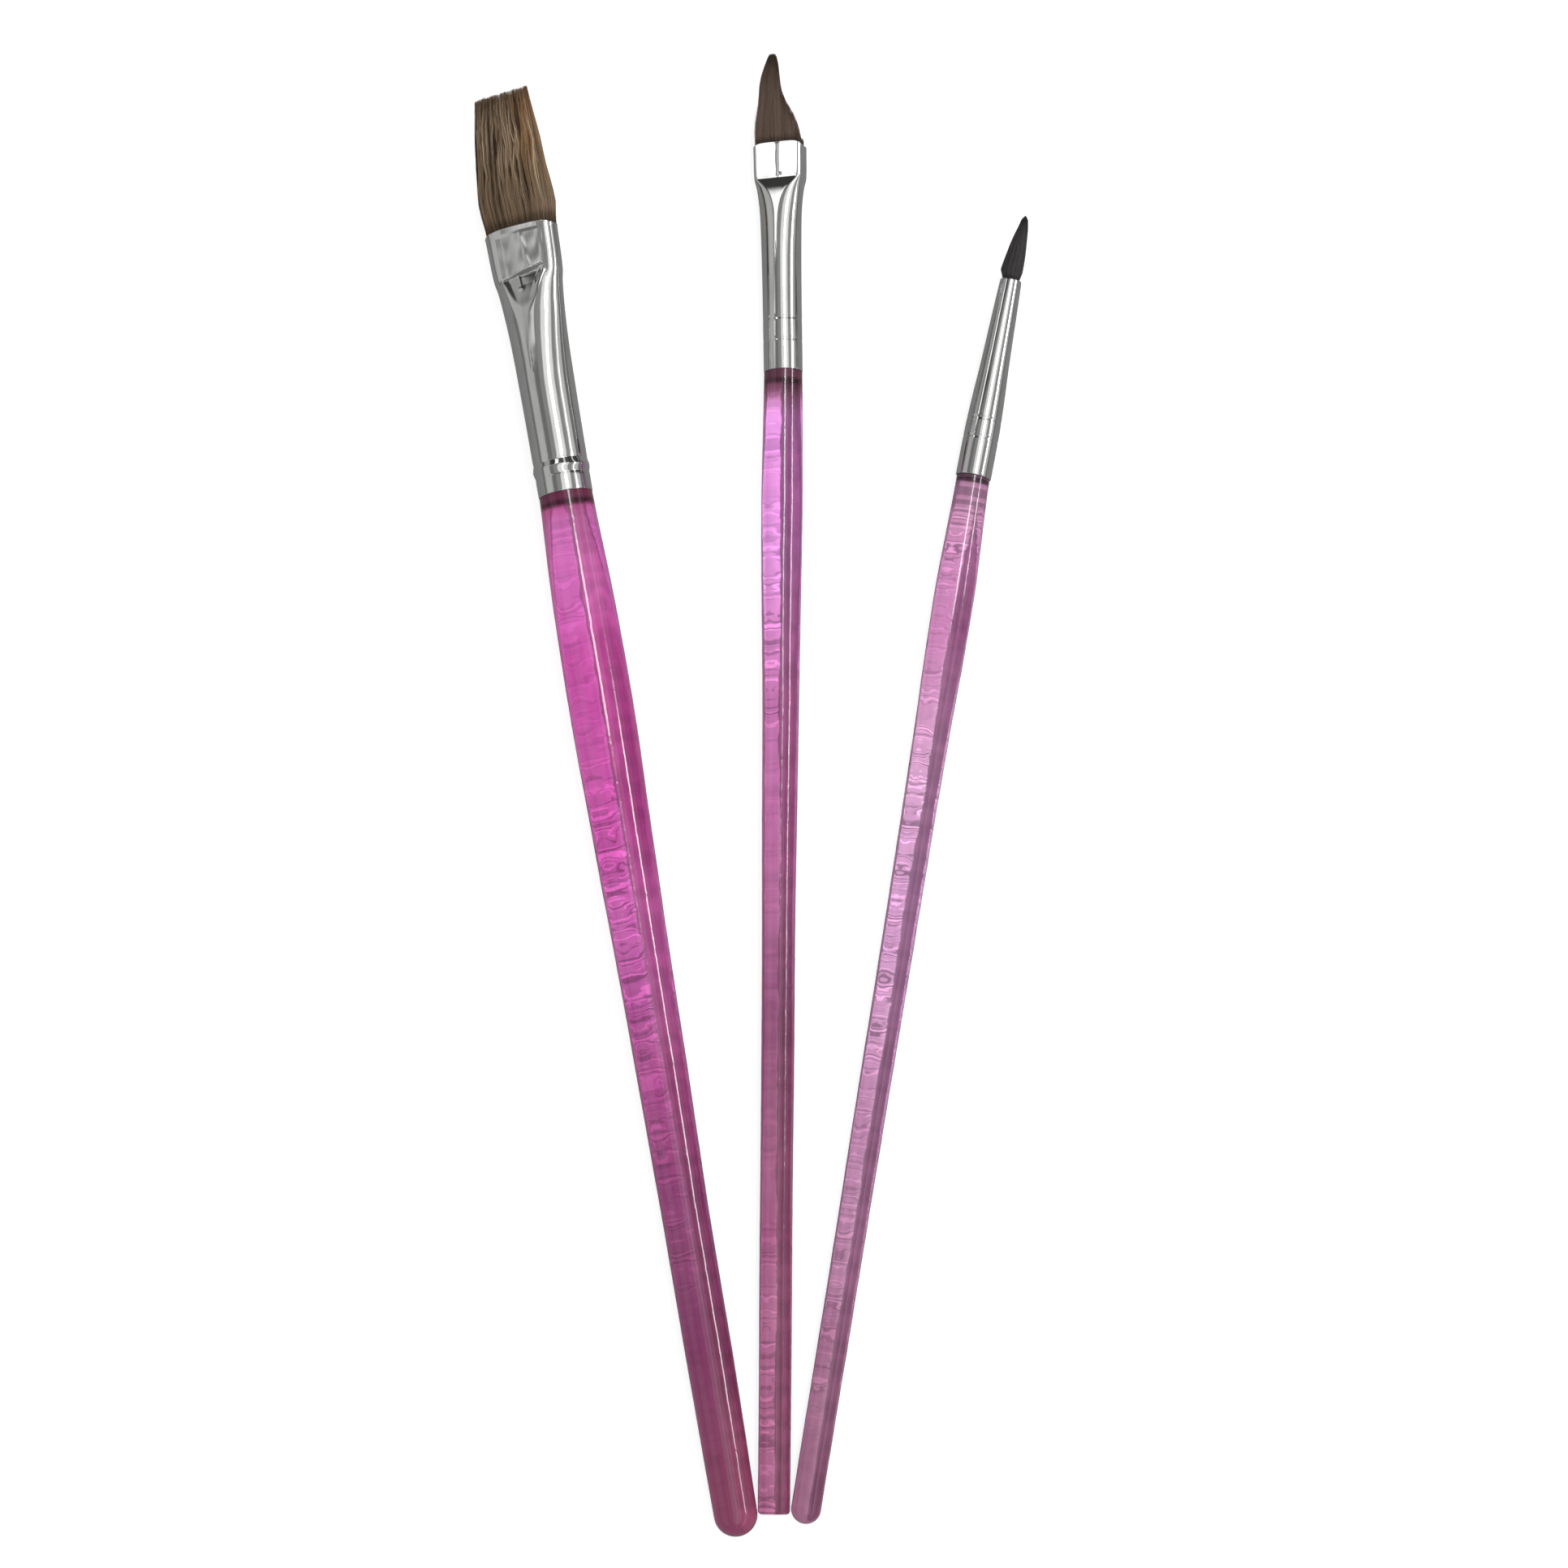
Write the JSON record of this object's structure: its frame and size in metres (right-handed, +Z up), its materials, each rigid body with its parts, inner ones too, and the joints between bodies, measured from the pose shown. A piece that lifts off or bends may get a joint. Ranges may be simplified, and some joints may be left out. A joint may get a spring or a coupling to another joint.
{
  "type": "tint brush set",
  "caption": "Set of tinting brushes laid in a fan: flat, dagger and pointed round tufts of natural hair in nickel ferrules on turned translucent pink handles.",
  "frame": {"origin": "centre of the set's box, on the table it lies on", "axes": "+Y from the tails of the handles towards the hair, +X across the fan from the flat brush to the round brush, +Z up off the table"},
  "size_m": [0.0764, 0.2032, 0.0089],
  "materials": {
    "pink_acrylic": "polished",
    "pale_pink_acrylic": "polished",
    "nickel": "polished",
    "taupe_hair": "satin",
    "brown_hair": "satin",
    "black_hair": "satin",
    "thread": "matte",
    "resin": "gloss",
    "glue": "satin"
  },
  "bodies": {
    "dagger_brush": {"dagger_handle": "pink_acrylic", "dagger_ferrule": "nickel", "dagger_hair": "brown_hair", "dagger_binding": "thread", "dagger_resin": "resin", "dagger_glue": "glue"},
    "flat_brush": {"flat_handle": "pink_acrylic", "flat_ferrule": "nickel", "flat_hair": "taupe_hair", "flat_binding": "thread", "flat_resin": "resin", "flat_glue": "glue"},
    "round_brush": {"round_handle": "pale_pink_acrylic", "round_ferrule": "nickel", "round_hair": "black_hair", "round_binding": "thread", "round_resin": "resin", "round_glue": "glue"}
  },
  "joints": [
    {"name": "flat_lift", "type": "slide", "parent": "dagger_brush", "child": "flat_brush", "axis": [0, 0, 1], "range_m": [0, 0.05]},
    {"name": "round_lift", "type": "slide", "parent": "dagger_brush", "child": "round_brush", "axis": [0, 0, 1], "range_m": [0, 0.05]}
  ]
}
